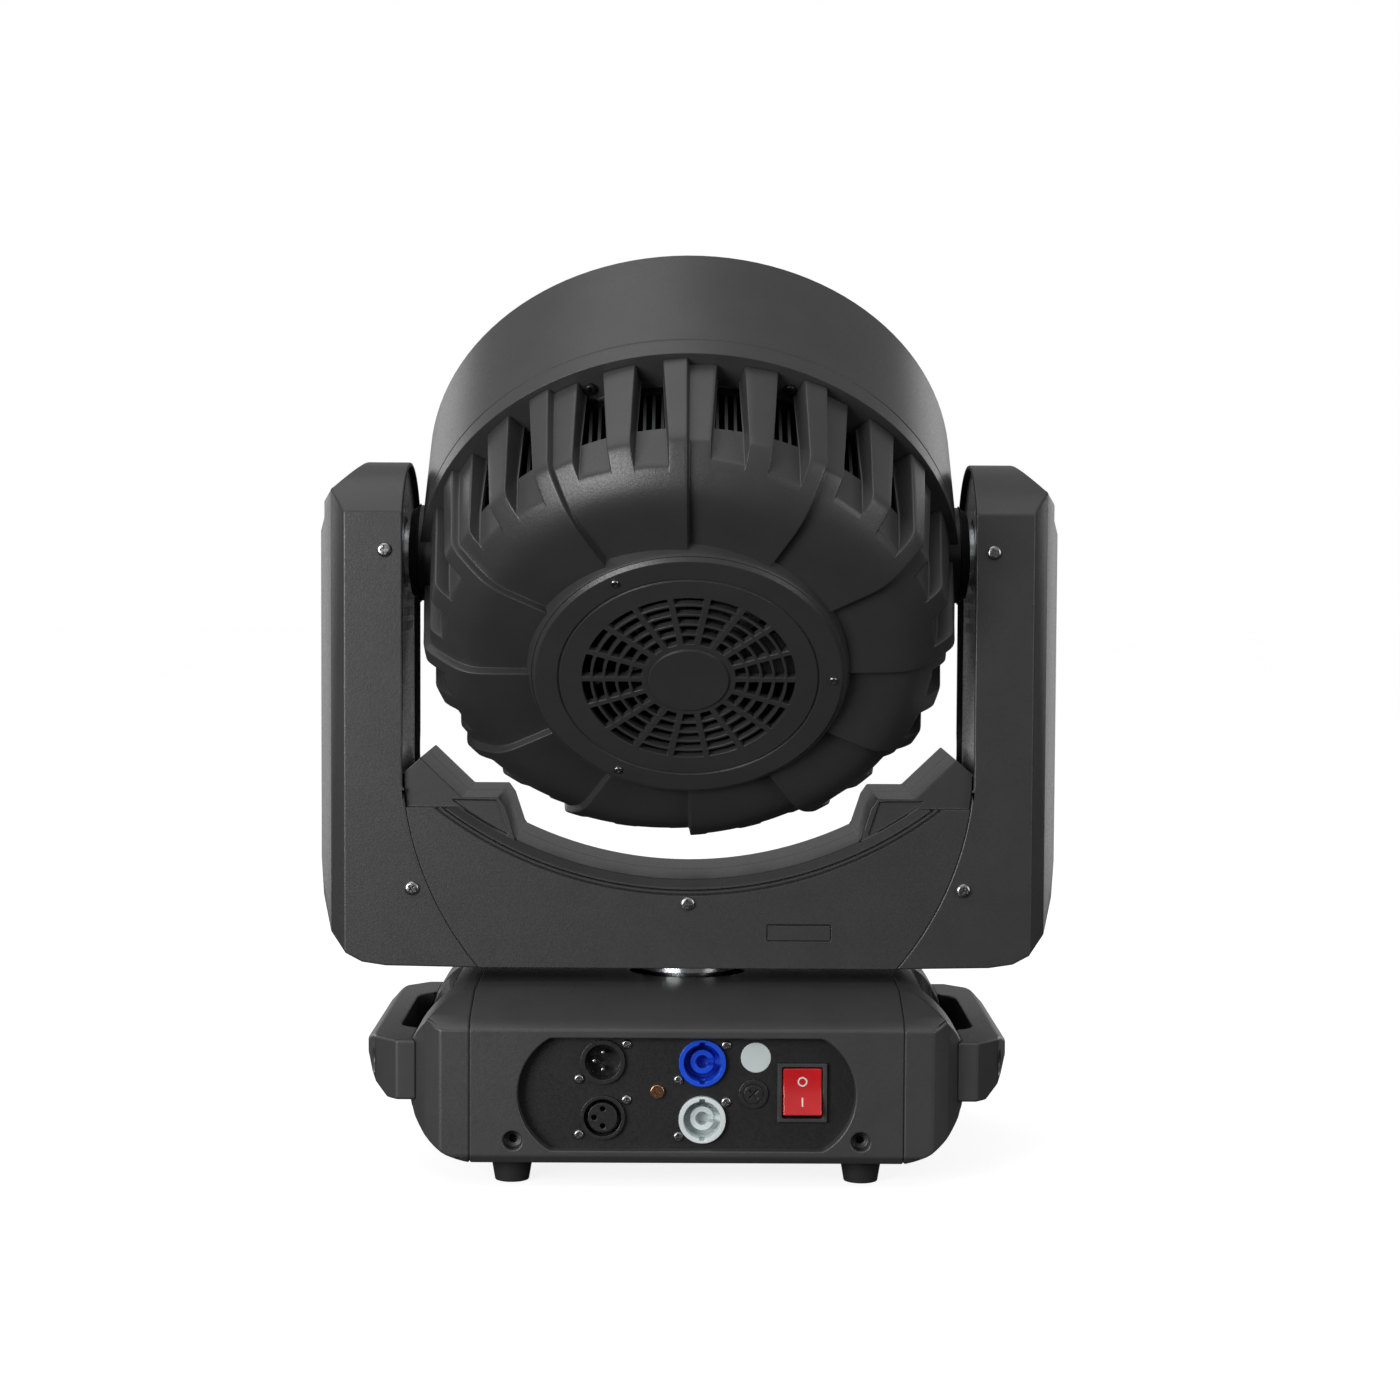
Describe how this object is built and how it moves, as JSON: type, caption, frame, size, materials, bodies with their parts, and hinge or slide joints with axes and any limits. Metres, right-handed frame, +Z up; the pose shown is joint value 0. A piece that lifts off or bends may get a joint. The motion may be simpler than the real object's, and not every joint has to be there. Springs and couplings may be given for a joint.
{
  "type": "moving head light",
  "caption": "Moving head wash light: a lamp head tilts in a two-armed yoke that pans on a low base with side handles and a rear connector panel.",
  "frame": {"origin": "on the floor, midway under the light, on the pan axis", "axes": "+Z up along the pan axis, +X to the right when looking at the connector panel, which faces -Y; the tilt axis runs along X"},
  "size_m": [0.397, 0.2977, 0.4822],
  "materials": {
    "moulded_grey": "fine-textured moulded plastic, matt",
    "base_grey": "fine-textured moulded plastic, matt",
    "panel_black": "satin black",
    "socket_black": "semi-gloss",
    "socket_blue": "semi-gloss",
    "socket_white": "semi-gloss",
    "switch_grey": "satin",
    "rocker_red": "translucent gloss",
    "screw_steel": "zinc plated",
    "screw_black": "black oxide",
    "earth_brass": "polished",
    "rubber": "matt",
    "sheet_steel": "galvanised",
    "machined_metal": "turned",
    "heatsink_metal": "extruded",
    "dark_metal": "satin black",
    "motor_black": "satin",
    "circuit_green": "solder mask",
    "lamp_white": "white solder mask",
    "lens_clear": "clear moulded",
    "display_glass": "tinted clear",
    "button_grey": "matt",
    "arm_inner": "satin powder coat"
  },
  "bodies": {
    "base": {"base_plate": "sheet_steel", "base_cover": "base_grey", "end_cap_left": "base_grey", "end_cap_right": "base_grey", "handle_left": "base_grey", "handle_right": "base_grey", "rubber_feet": "rubber", "base_screws": "screw_steel", "connector_panel": "panel_black", "data_inlet": "socket_black", "data_outlet": "socket_black", "power_inlet": "socket_blue", "power_outlet": "socket_white", "fuse_holder": "socket_black", "switch_frame": "switch_grey", "earth_screw": "earth_brass", "display_panel": "panel_black", "display_window": "display_glass", "circuit_boards": "circuit_green", "power_supply": "sheet_steel", "pan_chassis": "sheet_steel", "pan_bearing": "machined_metal", "pan_motor": "motor_black", "pan_belt": "rubber"},
    "rocker": {"switch_rocker": "rocker_red"},
    "fuse_cap": {"fuse_cap": "socket_black"},
    "menu_button": {"button_menu": "button_grey"},
    "down_button": {"button_down": "button_grey"},
    "up_button": {"button_up": "button_grey"},
    "enter_button": {"button_enter": "button_grey"},
    "pan_motor_shaft": {"pan_motor_pulley": "machined_metal"},
    "yoke": {"pan_hub": "machined_metal", "yoke_frame": "sheet_steel", "arm_cover_left": "moulded_grey", "arm_cover_right": "moulded_grey", "saddle_cover_rear": "moulded_grey", "saddle_cover_front": "moulded_grey", "access_plate": "moulded_grey", "yoke_screws": "screw_steel", "arm_plates": "arm_inner", "tilt_bearings": "machined_metal", "tilt_motor": "motor_black", "tilt_belt": "rubber"},
    "tilt_motor_shaft": {"tilt_motor_pulley": "machined_metal"},
    "head": {"head_shell": "moulded_grey", "fan_grille": "moulded_grey", "fan_frame": "panel_black", "heatsink": "heatsink_metal", "led_board": "lamp_white", "hood": "moulded_grey", "head_plate": "sheet_steel", "trunnions": "dark_metal", "tilt_pulley": "machined_metal", "zoom_motors": "motor_black", "head_screws": "screw_black"},
    "fan": {"fan_rotor": "panel_black"},
    "zoom_carriage": {"lens_plate": "panel_black", "lenses": "lens_clear"},
    "upper_lead_screw": {"zoom_screw_upper": "machined_metal"},
    "lower_lead_screw": {"zoom_screw_lower": "machined_metal"}
  },
  "joints": [
    {"name": "pan", "type": "hinge", "parent": "base", "child": "yoke", "pos_m": [0, 0, 0.1], "axis": [0, 0, 1], "range_deg": [-270, 270]},
    {"name": "tilt", "type": "hinge", "parent": "yoke", "child": "head", "pos_m": [0, 0, 0.324], "axis": [1, 0, 0], "range_deg": [-84, 186]},
    {"name": "fan_spin", "type": "hinge", "parent": "head", "child": "fan", "pos_m": [0, -0.06423, 0.27143], "axis": [0, 0.7738, 0.6334], "continuous": true},
    {"name": "zoom", "type": "slide", "parent": "head", "child": "zoom_carriage", "axis": [0, 0.7738, 0.6334], "range_m": [0, 0.022]},
    {"name": "upper_screw_turn", "type": "hinge", "parent": "head", "child": "upper_lead_screw", "pos_m": [0, -0.07854, 0.41996], "axis": [0, 0.7738, 0.6334], "range_deg": [-5, 1000]},
    {"name": "lower_screw_turn", "type": "hinge", "parent": "head", "child": "lower_lead_screw", "pos_m": [0, 0.07854, 0.22804], "axis": [0, 0.7738, 0.6334], "range_deg": [-5, 1000]},
    {"name": "pan_motor_turn", "type": "hinge", "parent": "base", "child": "pan_motor_shaft", "pos_m": [-0.075, 0, 0.087], "axis": [0, 0, 1], "range_deg": [-1300, 1300]},
    {"name": "tilt_motor_turn", "type": "hinge", "parent": "yoke", "child": "tilt_motor_shaft", "pos_m": [0.166, 0, 0.224], "axis": [1, 0, 0], "range_deg": [-305, 672]},
    {"name": "power_switch", "type": "hinge", "parent": "base", "child": "rocker", "pos_m": [0.0593, -0.104, 0.049], "axis": [1, 0, 0], "range_deg": [0, 16]},
    {"name": "fuse_cap_turn", "type": "hinge", "parent": "base", "child": "fuse_cap", "pos_m": [0.0342, -0.1, 0.0481], "axis": [0, -1, 0], "range_deg": [0, 90]},
    {"name": "menu_press", "type": "slide", "parent": "base", "child": "menu_button", "axis": [0, -1, 0], "range_m": [0, 0.001], "stiffness_N_per_m": 500},
    {"name": "down_press", "type": "slide", "parent": "base", "child": "down_button", "axis": [0, -1, 0], "range_m": [0, 0.001], "stiffness_N_per_m": 500},
    {"name": "up_press", "type": "slide", "parent": "base", "child": "up_button", "axis": [0, -1, 0], "range_m": [0, 0.001], "stiffness_N_per_m": 500},
    {"name": "enter_press", "type": "slide", "parent": "base", "child": "enter_button", "axis": [0, -1, 0], "range_m": [0, 0.001], "stiffness_N_per_m": 500}
  ],
  "couplings": [
    {"joint": "upper_screw_turn", "follows": "zoom", "rad_per_m": 785.4},
    {"joint": "lower_screw_turn", "follows": "zoom", "rad_per_m": 785.4},
    {"joint": "pan_motor_turn", "follows": "pan", "ratio": 4.8},
    {"joint": "tilt_motor_turn", "follows": "tilt", "ratio": 3.6}
  ]
}
